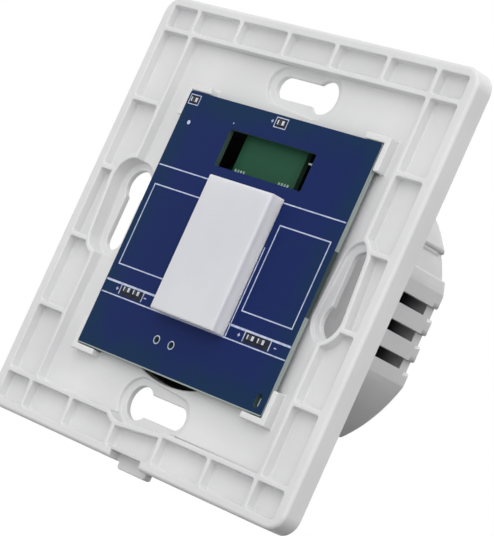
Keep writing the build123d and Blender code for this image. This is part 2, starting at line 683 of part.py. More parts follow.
def make_parts():
    """Every piece of the switch by name."""
    link_split = BOARD_BACK + LINK_HEADER_DEPTH
    parts = {
        "base_frame": make_base_frame(),
        "touch_board": make_touch_board(),
        "centre_cover": make_centre_cover(),
        "touch_chip": make_touch_chip(),
        "zone_leds": led_group(ZONE_LEDS),
        "status_leds": led_group(STATUS_LEDS),
        "link_header": link_body(BOARD_BACK, link_split, LINK_PIN),
        "link_pins": make_link_pins(),
        "link_socket": link_body(link_split + LINK_JOIN_GAP, POWER_FRONT, LINK_PIN + LINK_JOIN_GAP),
        "radio_board": make_radio_board(),
        "radio_shield": make_radio_shield(),
        "radio_pins": make_radio_pins(),
        "power_board": make_power_board(),
        "relay_left": make_relay(-1),
        "relay_right": make_relay(1),
        "capacitor": make_capacitor(),
        "transformer": make_transformer(),
        "fuse": make_fuse(),
        "varistor": make_varistor(),
        "terminal_block": make_terminal_block(),
        "contact_bars": make_contact_bars(),
        "rear_housing": make_rear_housing(),
        "housing_screws": make_housing_screws(),
    }
    for number, x in enumerate(way_places(), 1):
        parts[f"terminal_screw_{number}"] = make_terminal_screw(x)
        parts[f"clamp_cage_{number}"] = make_clamp_cage(x)
    return parts


def main():
    """Write one STEP file per piece and print what each one holds."""
    os.makedirs("parts", exist_ok=True)
    for name, piece in make_parts().items():
        export_step(piece, f"parts/{name}.step")
        print(name, len(piece.solids()), "solids", round(piece.volume, 1), "mm3")


if __name__ == "__main__":
    main()
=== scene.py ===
"""Looks of a two-zone touch light switch that has its glass front off.

Everything is in metres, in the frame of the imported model: X right, Y into the wall, Z up.
Places on the touch board are written in millimetres and scaled once.
"""

import logging
from dataclasses import dataclass, field
from enum import Enum
from math import cos, pi, radians, sin
from typing import Callable, Iterable, Optional

import bmesh
import bpy
from mathutils import Matrix, Vector


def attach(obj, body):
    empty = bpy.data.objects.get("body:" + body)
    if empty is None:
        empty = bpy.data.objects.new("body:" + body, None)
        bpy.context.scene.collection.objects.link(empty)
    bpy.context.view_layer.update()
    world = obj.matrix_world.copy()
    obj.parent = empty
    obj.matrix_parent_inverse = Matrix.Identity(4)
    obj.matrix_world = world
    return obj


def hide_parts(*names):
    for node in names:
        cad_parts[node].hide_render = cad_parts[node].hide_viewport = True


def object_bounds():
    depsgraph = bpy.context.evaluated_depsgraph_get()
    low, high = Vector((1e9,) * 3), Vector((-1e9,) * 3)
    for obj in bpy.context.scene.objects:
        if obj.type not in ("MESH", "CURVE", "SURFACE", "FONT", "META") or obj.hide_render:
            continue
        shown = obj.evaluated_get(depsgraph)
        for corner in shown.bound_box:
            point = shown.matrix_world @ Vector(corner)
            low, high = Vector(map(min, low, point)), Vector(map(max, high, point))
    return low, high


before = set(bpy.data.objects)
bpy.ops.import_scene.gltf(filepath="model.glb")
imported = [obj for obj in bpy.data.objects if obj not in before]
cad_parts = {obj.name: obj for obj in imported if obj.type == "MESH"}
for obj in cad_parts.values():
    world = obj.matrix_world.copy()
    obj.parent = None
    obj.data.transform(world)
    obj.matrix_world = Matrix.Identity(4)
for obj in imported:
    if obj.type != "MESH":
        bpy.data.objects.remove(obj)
CAD_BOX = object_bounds()

LOG = logging.getLogger("touch_switch")
MM = 0.001
WAYS = (1, 2, 3, 4)

Rgb = tuple[float, float, float]
Place = tuple[float, float]
Box = tuple[float, float, float, float]


class Body(str, Enum):
    """Bodies of the model that pieces ride on."""

    SWITCH = "switch"


class Slot(str, Enum):
    """Material slots of the record."""

    WHITE = "white_plastic"
    BLUE_BOARD = "blue_board"
    GREEN_BOARD = "green_board"
    TERMINAL = "terminal_plastic"


class Noise(Enum):
    """Sizes of surface variation, as noise scale for coordinates in metres."""

    CLOUD = 55.0
    SPECKLE = 900.0
    GRAIN = 5200.0


def srgb(red: float, green: float, blue: float) -> Rgb:
    """Linear colour of an sRGB colour.

    Args:
        red: red from 0 to 255.
        green: green from 0 to 255.
        blue: blue from 0 to 255.

    Returns:
        The three linear values.
    """
    def straight(value: float) -> float:
        """Linear value of one channel."""
        share = value / 255
        return share / 12.92 if share <= 0.04045 else ((share + 0.055) / 1.055) ** 2.4

    return straight(red), straight(green), straight(blue)


class NodeBench:
    """Adds and joins the nodes of one node tree."""

    def __init__(self, tree: bpy.types.NodeTree) -> None:
        """Work on a node tree.

        Args:
            tree: tree of a material, a world or a node group.
        """
        self.tree = tree

    def put(self, target: bpy.types.NodeSocket, value: object) -> None:
        """Set an input to a plain value, or join another node's output to it.

        Args:
            target: input socket.
            value: number, colour, vector or output socket.
        """
        if isinstance(value, bpy.types.NodeSocket):
            self.tree.links.new(value, target)
        elif isinstance(value, tuple) and len(value) == 3 and target.type == "RGBA":
            target.default_value = (*value, 1.0)
        else:
            target.default_value = value

    def add(self, kind: str, inputs: Optional[dict] = None, **settings: object) -> bpy.types.Node:
        """Add one node.

        Args:
            kind: Blender's node type.
            inputs: value or output socket for each input, by name or number.
            settings: attributes of the node.

        Returns:
            The new node.
        """
        node = self.tree.nodes.new(kind)
        for name, value in settings.items():
            setattr(node, name, value)
        for key, value in (inputs or {}).items():
            self.put(node.inputs[key], value)
        return node

    def math(self, operation: str, *values: object) -> bpy.types.NodeSocket:
        """Result of a math node on one to three values."""
        return self.add("ShaderNodeMath", dict(enumerate(values)), operation=operation).outputs[0]

    def span(self, value: bpy.types.NodeSocket, low: float, high: float) -> bpy.types.NodeSocket:
        """Value spread so that low becomes 0 and high becomes 1, with soft ends."""
        inputs = {"Value": value, "From Min": low, "From Max": high}
        return self.add("ShaderNodeMapRange", inputs, interpolation_type="SMOOTHSTEP").outputs[0]

    def blend(self, share: object, first: object, second: object) -> bpy.types.NodeSocket:
        """Colour between first and second."""
        inputs = {0: share, 6: first, 7: second}
        return self.add("ShaderNodeMix", inputs, data_type="RGBA").outputs[2]

    def noise(self, place: bpy.types.NodeSocket, scale: object, detail: float) -> bpy.types.NodeSocket:
        """Noise from 0 to 1 at a place."""
        inputs = {"Vector": place, "Scale": scale, "Detail": detail}
        return self.add("ShaderNodeTexNoise", inputs).outputs["Fac"]

    def place(self) -> bpy.types.NodeSocket:
        """Coordinates in the frame of the model."""
        return self.add("ShaderNodeTexCoord").outputs["Object"]

    def axes(self) -> tuple[bpy.types.NodeSocket, ...]:
        """X, Y and Z of a point in the frame of the model."""
        return tuple(self.add("ShaderNodeSeparateXYZ", {0: self.place()}).outputs)


class SharedEffects:
    """Node groups that several finishes use, each built once."""

    FLOAT = "NodeSocketFloat"
    CLOUD_DETAIL = 4.0
    CLOUD_SPAN = (0.3, 0.7)
    SPECKLE_DETAIL = 3.0
    SPECKLE_SPAN = (0.35, 0.65)
    GRAIN_DETAIL = 2.0
    STREAK_DETAIL = 3.0
    STREAK_SPAN = (0.3, 0.7)
    EDGE_SLOPE = 0.5

    def __init__(self) -> None:
        """Build the groups."""
        self.surface = self._surface()
        self.drawn = self._drawn()
        self.cut_edge = self._cut_edge()

    def _start(self, name: str, inputs: Iterable[str], outputs: Iterable[str]
               ) -> tuple[bpy.types.NodeTree, NodeBench, bpy.types.Node, bpy.types.Node]:
        """Make an empty group.

        Args:
            name: name of the group.
            inputs: names of its inputs.
            outputs: names of its outputs.

        Returns:
            The group, its bench, its input node and its output node.
        """
        tree = bpy.data.node_groups.new(name, "ShaderNodeTree")
        for label in inputs:
            tree.interface.new_socket(label, in_out="INPUT", socket_type=self.FLOAT)
        for label in outputs:
            tree.interface.new_socket(label, in_out="OUTPUT", socket_type=self.FLOAT)
        bench = NodeBench(tree)
        return tree, bench, bench.add("NodeGroupInput"), bench.add("NodeGroupOutput")

    def _surface(self) -> bpy.types.NodeTree:
        """Cloudy tint and fine grain of a moulded, coated or printed surface.

        Returns:
            The group.
        """
        tree, bench, given, result = self._start(
            "surface_variation", ("Cloud Scale", "Grain Scale"), ("Cloud", "Speckle", "Grain"))
        place = bench.place()
        cloud = bench.noise(place, given.outputs["Cloud Scale"], self.CLOUD_DETAIL)
        bench.put(result.inputs["Cloud"], bench.span(cloud, *self.CLOUD_SPAN))
        speckle = bench.noise(place, Noise.SPECKLE.value, self.SPECKLE_DETAIL)
        bench.put(result.inputs["Speckle"], bench.span(speckle, *self.SPECKLE_SPAN))
        grain = bench.noise(place, given.outputs["Grain Scale"], self.GRAIN_DETAIL)
        bench.put(result.inputs["Grain"], grain)
        return tree

    def _drawn(self) -> bpy.types.NodeTree:
        """Fine streaks along X, as rolling and turning leave on metal.

        Returns:
            The group.
        """
        tree, bench, given, result = self._start("drawn_streaks", ("Streak Scale", "Stretch"), ("Streak",))
        x, y, z = bench.axes()
        stretched = bench.math("MULTIPLY", x, given.outputs["Stretch"])
        place = bench.add("ShaderNodeCombineXYZ", {0: stretched, 1: y, 2: z}).outputs[0]
        streak = bench.noise(place, given.outputs["Streak Scale"], self.STREAK_DETAIL)
        bench.put(result.inputs["Streak"], bench.span(streak, *self.STREAK_SPAN))
        return tree

    def _cut_edge(self) -> bpy.types.NodeTree:
        """Mask of the cut edges of a board that lies across Y.

        Returns:
            The group.
        """
        tree, bench, _, result = self._start("cut_edge", (), ("Edge",))
        normal = bench.add("ShaderNodeNewGeometry").outputs["Normal"]
        along = bench.math("ABSOLUTE", bench.add("ShaderNodeSeparateXYZ", {0: normal}).outputs[1])
        bench.put(result.inputs["Edge"], bench.math("LESS_THAN", along, self.EDGE_SLOPE))
        return tree


EFFECTS = SharedEffects()


class MaterialBench(NodeBench):
    """Nodes of one material around its Principled BSDF."""

    def __init__(self, name: str) -> None:
        """Start a material.

        Args:
            name: name of the material.
        """
        self.material = bpy.data.materials.new(name)
        self.material.use_nodes = True
        super().__init__(self.material.node_tree)
        self.shader = self.tree.nodes["Principled BSDF"]

    def effect(self, group: bpy.types.NodeTree, **values: float) -> bpy.types.bpy_prop_collection:
        """Place a shared effect.

        Args:
            group: node group of the effect.
            values: its inputs, with underscores for spaces.

        Returns:
            The outputs of the placed group.
        """
        node = self.add("ShaderNodeGroup", node_tree=group)
        for name, value in values.items():
            node.inputs[name.replace("_", " ")].default_value = value
        return node.outputs

    def finish(self, **sockets: object) -> bpy.types.Material:
        """Set or join inputs of the shader.

        Args:
            sockets: inputs of the shader, with underscores for spaces.

        Returns:
            The finished material.
        """
        for name, value in sockets.items():
            self.put(self.shader.inputs[name.replace("_", " ")], value)
        return self.material

    def bump(self, height: bpy.types.NodeSocket, depth: float) -> bpy.types.NodeSocket:
        """Normal of a surface with the given relief, depth in metres."""
        inputs = {"Strength": 1.0, "Distance": depth, "Height": height}
        return self.add("ShaderNodeBump", inputs).outputs[0]


@dataclass(frozen=True)
class MouldedPlastic:
    """Injection-moulded plastic with a fine spark-eroded grain."""

    name: str
    colour: Rgb
    shade: Rgb
    roughness: float = 0.42
    specular: float = 0.4
    grain_depth: float = 0.006 * MM
    grain_scale: float = Noise.GRAIN.value
    scatter: float = 0.0
    polish_spread: float = 0.1

    def tint(self, bench: MaterialBench, cloud: bpy.types.NodeSocket) -> bpy.types.NodeSocket:
        """Colour of the plastic, a little uneven."""
        return bench.blend(cloud, self.colour, self.shade)

    def material(self) -> bpy.types.Material:
        """Make the plastic.

        Returns:
            Its material.
        """
        bench = MaterialBench(self.name)
        surface = bench.effect(EFFECTS.surface, Cloud_Scale=Noise.CLOUD.value, Grain_Scale=self.grain_scale)
        smoothest = self.roughness - self.polish_spread / 2
        polish = bench.math("MULTIPLY_ADD", surface["Speckle"], self.polish_spread, smoothest)
        return bench.finish(
            Base_Color=self.tint(bench, surface["Cloud"]),
            Roughness=polish,
            Specular_IOR_Level=self.specular,
            Subsurface_Weight=1.0 if self.scatter else 0.0,
            Subsurface_Radius=(1.0, 1.0, 1.0),
            Subsurface_Scale=self.scatter,
            Normal=bench.bump(surface["Grain"], self.grain_depth),
        )


@dataclass(frozen=True)
class MilkyPlasticPaintedLight(MouldedPlastic):
    """White plastic that light soaks into, with painted light that makes it paler down its walls."""

    # pale: colour of the painted light on the walls, which fades in from front_y to foot_y.
    pale: Rgb = srgb(255, 254, 252)
    front_y: float = 0.0
    foot_y: float = 0.0

    def tint(self, bench: MaterialBench, cloud: bpy.types.NodeSocket) -> bpy.types.NodeSocket:
        """Colour of the plastic, with painted light that pales it towards the foot of the walls."""
        # Painted light: the share of the pale colour grows down the walls.
        depth = bench.span(bench.axes()[1], self.front_y, self.foot_y)
        return bench.blend(depth, super().tint(bench, cloud), self.pale)


@dataclass(frozen=True)
class HousingPlastic(MouldedPlastic):
    """White housing plastic with painted shade inside and painted light behind the vents. Lengths in millimetres."""

    # inside: colour of the painted shade on the faces within the housing.
    inside: Rgb = srgb(46, 45, 44)
    half_width: float = 23.45
    # The next two spans bound the painted light that eases the painted shade behind the vents.
    painted_light_x: Place = (16.0, 22.5)
    painted_light_y: Place = (11.0, 15.0)
    radius: float = 25.0
    drop: float = 0.7
    floor_y: float = 25.2

    def tint(self, bench: MaterialBench, cloud: bpy.types.NodeSocket) -> bpy.types.NodeSocket:
        """White outside; painted shade darkens the faces that look into the housing, less so where painted light
        falls behind the vents.

        Args:
            bench: bench of the material.
            cloud: uneven share of the shade.

        Returns:
            Socket with the colour.
        """
        x, y, z = bench.axes()
        up = bench.math("ADD", z, self.drop * MM)
        squares = bench.math("ADD", bench.math("MULTIPLY", x, x), bench.math("MULTIPLY", up, up))
        within = bench.math("LESS_THAN", bench.math("SQRT", squares), self.radius * MM)
        between = bench.math("LESS_THAN", bench.math("ABSOLUTE", x), self.half_width * MM)
        before = bench.math("LESS_THAN", y, self.floor_y * MM)
        # Mask of the inner faces, which get painted shade.
        inner = bench.math("MULTIPLY", bench.math("MULTIPLY", within, between), before)
        white = super().tint(bench, cloud)
        # Painted light: behind the vents the painted shade turns back towards white.
        painted_vent_light = bench.span(bench.math("ABSOLUTE", x), *(stop * MM for stop in self.painted_light_x))
        painted_vent_light = bench.math("MULTIPLY", painted_vent_light, bench.span(y, *(stop * MM for stop in self.painted_light_y)))
        return bench.blend(inner, white, bench.blend(painted_vent_light, self.inside, white))


@dataclass(frozen=True)
class ResistBoard:
    """Circuit board: solder resist on both faces, bare glass fibre at the cut edges."""

    name: str
    resist: Rgb
    margin: Rgb
    core: Rgb = srgb(158, 168, 163)
    middle: Place = (0.0, 0.0)
    half: Place = (1.0, 1.0)
    specular: float = 0.12
    roughness: float = 0.38
    cloud_scale: float = 140.0
    grain_scale: float = 2600.0
    margin_span: Place = (0.72, 1.02)
    margin_least: float = 0.35
    copper_show: float = 0.35
    copper_rise: float = 2.0
    edge_rough: float = 0.4
    relief_depth: float = 0.004 * MM

    def margin_share(self, bench: MaterialBench) -> bpy.types.NodeSocket:
        """How near a point is to the rim of the board, from 0 to 1.

        Args:
            bench: bench of the material.

        Returns:
            Socket with the share.
        """
        x, _, z = bench.axes()
        shares = []
        for value, centre, reach in zip((x, z), self.middle, self.half):
            shifted = bench.math("SUBTRACT", value, centre * MM)
            shares.append(bench.math("DIVIDE", bench.math("ABSOLUTE", shifted), reach * MM))
        return bench.span(bench.math("MAXIMUM", *shares), *self.margin_span)

    def copper(self, bench: MaterialBench) -> Optional[bpy.types.NodeSocket]:
        """Mask of copper that shows through the resist, if any."""
        return None

    def bare(self, bench: MaterialBench) -> bpy.types.NodeSocket:
        """Mask of the bare glass fibre."""
        return bench.effect(EFFECTS.cut_edge)["Edge"]

    def fibre(self, bench: MaterialBench) -> object:
        """Colour of the bare glass fibre."""
        return self.core

    def material(self) -> bpy.types.Material:
        """Make the board's resist and its bare edges.

        Returns:
            The material.
        """
        bench = MaterialBench(self.name)
        surface = bench.effect(EFFECTS.surface, Cloud_Scale=self.cloud_scale, Grain_Scale=self.grain_scale)
        uneven = bench.math("ADD", surface["Cloud"], self.margin_least)
        margin = bench.math("MULTIPLY", self.margin_share(bench), uneven)
        face = bench.blend(margin, self.resist, self.margin)
        copper = self.copper(bench)
        relief = surface["Grain"]
        if copper is not None:
            face = bench.blend(bench.math("MULTIPLY", copper, self.copper_show), face, self.margin)
            relief = bench.math("MULTIPLY_ADD", copper, self.copper_rise, relief)
        edge = self.bare(bench)
        return bench.finish(
            Base_Color=bench.blend(edge, face, self.fibre(bench)),
            Roughness=bench.math("MULTIPLY_ADD", edge, self.edge_rough, self.roughness),
            Specular_IOR_Level=self.specular,
            Normal=bench.bump(relief, self.relief_depth),
        )


@dataclass(frozen=True)
class TouchResist(ResistBoard):
    """Resist of the touch board, with the round sensor outlines faintly raised under it.

    Its bare fibre is darker over a middle stretch of each upright edge.
    """

    # The next two fields give the darker colour of the upright edges' middle stretch and where it lies.
    dark_stretch: Rgb = srgb(70, 82, 82)
    dark_stretch_z: Place = (-6.8, 5.2)
    # pierced: colour of the painted shade on the bare fibre in the holes and the window.
    painted_hole_shade: Rgb = srgb(64, 84, 78)
    rim: float = 0.3
    low_strip: float = 0.22
    ring_offset: float = 17.27
    ring_z: float = -1.4
    ring_radius: float = 6.1
    ring_half_width: float = 0.16

    def bare(self, bench: MaterialBench) -> bpy.types.NodeSocket:
        """Mask of the cut edges and of the strip where the resist ends short of the lower edge.

        Args:
            bench: bench of the material.

        Returns:
            Socket with the mask.
        """
        lowest = (self.middle[1] - self.half[1] + self.low_strip) * MM
        strip = bench.math("LESS_THAN", bench.axes()[2], lowest)
        return bench.math("MAXIMUM", super().bare(bench), strip)

    def fibre(self, bench: MaterialBench) -> object:
        """Colour of the bare glass fibre, darker over a middle stretch of the upright edges, with painted shade in
        the holes.

        Args:
            bench: bench of the material.

        Returns:
            Socket with the colour.
        """
        x, _, z = bench.axes()
        # Mask of the middle stretch of the upright edges, which takes the darker colour.
        low, high = (stop * MM for stop in self.dark_stretch_z)
        within = bench.math("MULTIPLY", bench.math("GREATER_THAN", z, low), bench.math("LESS_THAN", z, high))
        side = bench.math("ABSOLUTE", bench.math("SUBTRACT", x, self.middle[0] * MM))
        # Mask of the bare fibre inside the board's outline, in the holes and the window, which gets painted shade.
        inner = bench.math("LESS_THAN", side, (self.half[0] - self.rim) * MM)
        height = bench.math("ABSOLUTE", bench.math("SUBTRACT", z, self.middle[1] * MM))
        inner = bench.math("MULTIPLY", inner, bench.math("LESS_THAN", height, (self.half[1] - self.rim) * MM))
        return bench.blend(inner, bench.blend(within, self.core, self.dark_stretch), self.painted_hole_shade)

    def copper(self, bench: MaterialBench) -> Optional[bpy.types.NodeSocket]:
        """Mask of the sensor outlines, one in each zone.

        Args:
            bench: bench of the material.

        Returns:
            Socket with the mask.
        """
        x, _, z = bench.axes()
        side = bench.math("ABSOLUTE", bench.math("SUBTRACT", x, self.middle[0] * MM))
        across = bench.math("SUBTRACT", side, self.ring_offset * MM)
        up = bench.math("SUBTRACT", z, self.ring_z * MM)
        squares = bench.math("ADD", bench.math("MULTIPLY", across, across), bench.math("MULTIPLY", up, up))
        off = bench.math("SUBTRACT", bench.math("SQRT", squares), self.ring_radius * MM)
        return bench.math("LESS_THAN", bench.math("ABSOLUTE", off), self.ring_half_width * MM)


@dataclass(frozen=True)
class Ink:
    """Screen-printed ink, a little uneven."""

    name: str
    colour: Rgb
    thin: Rgb
    cloud_scale: float = 700.0
    grain_scale: float = 3200.0
    grain_depth: float = 0.003 * MM
    smoothest: float = 0.55
    polish_spread: float = 0.15
    specular: float = 0.25

    def material(self) -> bpy.types.Material:
        """Make the ink.

        Returns:
            Its material.
        """
        bench = MaterialBench(self.name)
        surface = bench.effect(EFFECTS.surface, Cloud_Scale=self.cloud_scale, Grain_Scale=self.grain_scale)
        return bench.finish(
            Base_Color=bench.blend(surface["Speckle"], self.colour, self.thin),
            Roughness=bench.math("MULTIPLY_ADD", surface["Cloud"], self.polish_spread, self.smoothest),
            Specular_IOR_Level=self.specular,
            Normal=bench.bump(surface["Grain"], self.grain_depth),
        )


@dataclass(frozen=True)
class Metal:
    """Plated, drawn or turned metal."""

    name: str
    colour: Rgb
    shade: Rgb
    roughness: float = 0.3
    streak_scale: float = 2500.0
    stretch: float = 0.08
    streak_depth: float = 0.002 * MM
    cloud_scale: float = 260.0
    grain_scale: float = 3000.0
    polish_spread: float = 0.18

    def material(self) -> bpy.types.Material:
        """Make the metal.

        Returns:
            Its material.
        """
        bench = MaterialBench(self.name)
        streak = bench.effect(EFFECTS.drawn, Streak_Scale=self.streak_scale, Stretch=self.stretch)["Streak"]
        surface = bench.effect(EFFECTS.surface, Cloud_Scale=self.cloud_scale, Grain_Scale=self.grain_scale)
        smoothest = self.roughness - self.polish_spread / 2
        return bench.finish(
            Base_Color=bench.blend(surface["Cloud"], self.colour, self.shade),
            Metallic=1.0,
            Roughness=bench.math("MULTIPLY_ADD", streak, self.polish_spread, smoothest),
            Normal=bench.bump(streak, self.streak_depth),
        )


@dataclass(frozen=True)
class LampBody:
    """Small surface-mounted lamp: smoked resin between two tinned ends."""

    name: str
    resin: Rgb
    ends: Rgb
    resin_front: float
    dull: float = 0.8
    cloud_scale: float = 900.0
    grain_scale: float = 4000.0
    grain_depth: float = 0.002 * MM
    smoothest: float = 0.3
    polish_spread: float = 0.1

    def material(self) -> bpy.types.Material:
        """Make the lamp's finish, split by how far a point stands off the board.

        Returns:
            The material.
        """
        bench = MaterialBench(self.name)
        surface = bench.effect(EFFECTS.surface, Cloud_Scale=self.cloud_scale, Grain_Scale=self.grain_scale)
        proud = bench.math("LESS_THAN", bench.axes()[1], self.resin_front * MM)
        ends = bench.blend(surface["Speckle"], self.ends, tuple(self.dull * part for part in self.ends))
        return bench.finish(
            Base_Color=bench.blend(proud, ends, self.resin),
            Roughness=bench.math("MULTIPLY_ADD", surface["Cloud"], self.polish_spread, self.smoothest),
            Normal=bench.bump(surface["Grain"], self.grain_depth),
        )


class Finishes:
    """Every material of the switch, each made once."""

    def __init__(self) -> None:
        """Make the materials."""
        self.frame_white = MouldedPlastic("frame_white", srgb(226, 226, 226), srgb(220, 220, 221)).material()
        # The cap's walls get painted light, paler towards their foot.
        self.cover_white = MilkyPlasticPaintedLight(
            "cover_white", srgb(222, 223, 227), srgb(216, 217, 222), 0.5, 0.3, scatter=1.2 * MM,
            front_y=-7.3 * MM, foot_y=-5.2 * MM).material()
        # The housing's white is set darker than the frame's white as painted shade.
        self.housing_white = HousingPlastic(
            "housing_white", srgb(210, 209, 210), srgb(200, 198, 200), 0.45, 0.35).material()
        self.terminal_grey = MouldedPlastic(
            "terminal_grey", srgb(206, 207, 208), srgb(194, 195, 198)).material()
        self.black_plastic = MouldedPlastic(
            "black_plastic", srgb(30, 30, 32), srgb(22, 22, 24), 0.5).material()
        self.relay_blue = MouldedPlastic("relay_blue", srgb(40, 82, 150), srgb(30, 66, 128)).material()
        self.sleeve = MouldedPlastic("capacitor_sleeve", srgb(38, 40, 48), srgb(28, 30, 36), 0.25).material()
        self.ferrite = MouldedPlastic("ferrite_grey", srgb(62, 62, 64), srgb(48, 48, 50), 0.6).material()
        self.ceramic = MouldedPlastic("fuse_ceramic", srgb(198, 176, 132), srgb(180, 158, 116)).material()
        self.dipped_blue = MouldedPlastic(
            "varistor_blue", srgb(36, 92, 160), srgb(28, 76, 138), 0.3).material()
        self.touch_resist = TouchResist(
            "touch_resist", srgb(24, 40, 92), srgb(20, 48, 80), middle=(1.2, 0.0), half=(25.35, 24.7),
            specular=0.06).material()
        # The radio board's core colour is dark: painted shade on its cut edges deep in the window.
        self.green_resist = ResistBoard(
            "green_resist", srgb(31, 80, 57), srgb(27, 70, 48), core=srgb(40, 62, 50), middle=(0.4, 16.4),
            half=(8.2, 5.2)).material()
        self.power_resist = ResistBoard(
            "power_resist", srgb(30, 72, 50), srgb(26, 62, 44), half=(22.8, 22.0)).material()
        self.print_ink = Ink("print_ink", srgb(200, 207, 228), srgb(172, 182, 212)).material()
        self.lamp_bed = Ink("lamp_bed", srgb(22, 27, 44), srgb(16, 20, 34)).material()
        self.pale_ink = Ink("pale_ink", srgb(176, 196, 188), srgb(140, 166, 154)).material()
        self.tin = Metal("tinned_pad", srgb(228, 228, 226), srgb(206, 206, 208), 0.42).material()
        self.gold = Metal("gold_pin", srgb(226, 190, 120), srgb(206, 166, 96)).material()
        self.zinc = Metal("zinc_steel", srgb(196, 198, 202), srgb(170, 172, 178), 0.36).material()
        self.brass = Metal("brass_bar", srgb(206, 168, 98), srgb(184, 144, 78), 0.34).material()
        self.lamp = LampBody("lamp_body", srgb(28, 30, 38), srgb(224, 227, 236), -4.385).material()


class MeshBench:
    """Turns meshes into pieces that ride on the model.

    Edges that turn by more than SHARP are rounded, with the profile ROUND. Faces within SMOOTH of each other
    share their normals, and LEVEL tells which lie in one plane. SLIVER and SHORT bound what unfold takes out.
    """

    SHARP = radians(50)
    ROUND = 0.5
    WELD = 0.0005 * MM
    LEVEL = 0.99999
    SMOOTH = cos(radians(60))
    SLIVER = 1.5 * MM * MM
    SHORT = 0.5 * MM
    UNFOLD_ROUNDS = 6

    def __init__(self, finishes: Finishes) -> None:
        """Keep the finishes at hand.

        Args:
            finishes: materials of the switch.
        """
        self.finishes = finishes

    def piece(self, name: str, mesh: bmesh.types.BMesh, material: bpy.types.Material, body: str) -> bpy.types.Object:
        """Make a piece from a mesh that is in place.

        Args:
            name: name of the piece.
            mesh: its shape, freed here.
            material: its finish.
            body: body that it rides on.

        Returns:
            The new object.
        """
        data = bpy.data.meshes.new(name)
        mesh.to_mesh(data)
        mesh.free()
        made = bpy.data.objects.new(name, data)
        bpy.context.scene.collection.objects.link(made)
        data.materials.append(material)
        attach(made, body)
        LOG.info("%s: %d faces", name, len(data.polygons))
        return made

    def soften(self, node: str, name: str, edge: float, material: bpy.types.Material, body: str,
               steps: int = 2, spared: Callable[[Vector], bool] = lambda place: False) -> bpy.types.Object:
        """Replace a node by the same form with moulded, rounded edges.

        Args:
            node: node of the model.
            name: name of the piece.
            edge: width of the rounding.
            material: its finish.
            body: body that it rides on.
            steps: facets across each rounding.
            spared: tells of a place whether its edges stay sharp.

        Returns:
            The piece.
        """
        mesh = bmesh.new()
        mesh.from_mesh(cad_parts[node].data)
        bmesh.ops.remove_doubles(mesh, verts=mesh.verts, dist=self.WELD)
        sharp = [side for side in mesh.edges if side.is_manifold and side.calc_face_angle(0.0) > self.SHARP]
        rounded = [side for side in sharp if not any(spared(vert.co) for vert in side.verts)]
        bmesh.ops.bevel(mesh, geom=rounded, offset=edge, offset_type="OFFSET", segments=steps,
                        profile=self.ROUND, affect="EDGES", clamp_overlap=False, loop_slide=False,
                        material=-1)
        self.unfold(mesh)
        normals = self.even_normals(mesh)
        made = self.piece(name, mesh, material, body)
        made.data.normals_split_custom_set(normals)
        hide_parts(node)
        return made

    def even_normals(self, mesh: bmesh.types.BMesh) -> list[Vector]:
        """Make the faces smooth, with normals that keep flat faces flat.

        Args:
            mesh: rounded shape.

        Returns:
            One normal for each face corner, led by the largest flat area of its smooth surroundings.
        """
        areas = self.flat_areas(mesh)
        normals = []
        for face in mesh.faces:
            face.smooth = True
            for vert in face.verts:
                near = [other for other in vert.link_faces if other.normal.dot(face.normal) > self.SMOOTH]
                led = sum((other.normal * areas[other.index] ** 2 for other in near), Vector())
                normals.append(led.normalized() if near else face.normal.copy())
        return normals

    def unfold(self, mesh: bmesh.types.BMesh) -> None:
        """Take out the slivers that rounding has folded over.

        Args:
            mesh: rounded shape.
        """
        for _ in range(self.UNFOLD_ROUNDS):
            folded = self.folded(mesh)
            sides = {min(face.edges, key=lambda side: side.calc_length()) for face in folded}
            bmesh.ops.collapse(mesh, edges=[side for side in sides if side.calc_length() < self.SHORT])
            LOG.info("%d folded slivers", len(folded))
        longest = {max(face.edges, key=lambda side: side.calc_length()) for face in self.folded(mesh)}
        bmesh.ops.dissolve_edges(mesh, edges=list(longest), use_verts=False)

    def folded(self, mesh: bmesh.types.BMesh) -> list[bmesh.types.BMFace]:
        """Small faces that look against the surface that they lie in.

        Args:
            mesh: rounded shape.

        Returns:
            The faces.
        """
        areas = self.flat_areas(mesh)
        found = []
        for face in mesh.faces:
            around = {other for vert in face.verts for other in vert.link_faces}
            led = sum((other.normal * areas[other.index] ** 2 for other in around), Vector())
            if face.normal.dot(led.normalized()) < -self.SMOOTH and face.calc_area() < self.SLIVER:
                found.append(face)
        return found

    def flat_areas(self, mesh: bmesh.types.BMesh) -> list[float]:
        """Size of the flat area that each face belongs to.

        Args:
            mesh: any shape.

        Returns:
            The areas, in the order of the faces.
        """
        mesh.normal_update()
        mesh.faces.index_update()
        areas = [0.0] * len(mesh.faces)
        for face in mesh.faces:
            if areas[face.index] == 0.0:
                flat = self.flat_area(face)
                size = sum(near.calc_area() for near in flat)
                for near in flat:
                    areas[near.index] = size
        return areas

    def flat_area(self, face: bmesh.types.BMFace) -> set[bmesh.types.BMFace]:
        """Faces that lie in one plane with a face and hang together with it.

        Args:
            face: any face of a mesh.

        Returns:
            The faces, with the given one among them.
        """
        found, waiting = {face}, [face]
        while waiting:
            here = waiting.pop()
            beside = {near for side in here.edges for near in side.link_faces} - found
            level = {near for near in beside if near.normal.dot(face.normal) > self.LEVEL}
            found |= level
            waiting += level
        return found

    def dress(self, node: str, material: bpy.types.Material) -> None:
        """Give a node of the model its finish.

        Args:
            node: node of the model.
            material: its finish.
        """
        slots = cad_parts[node].data.materials
        slots.clear()
        slots.append(material)


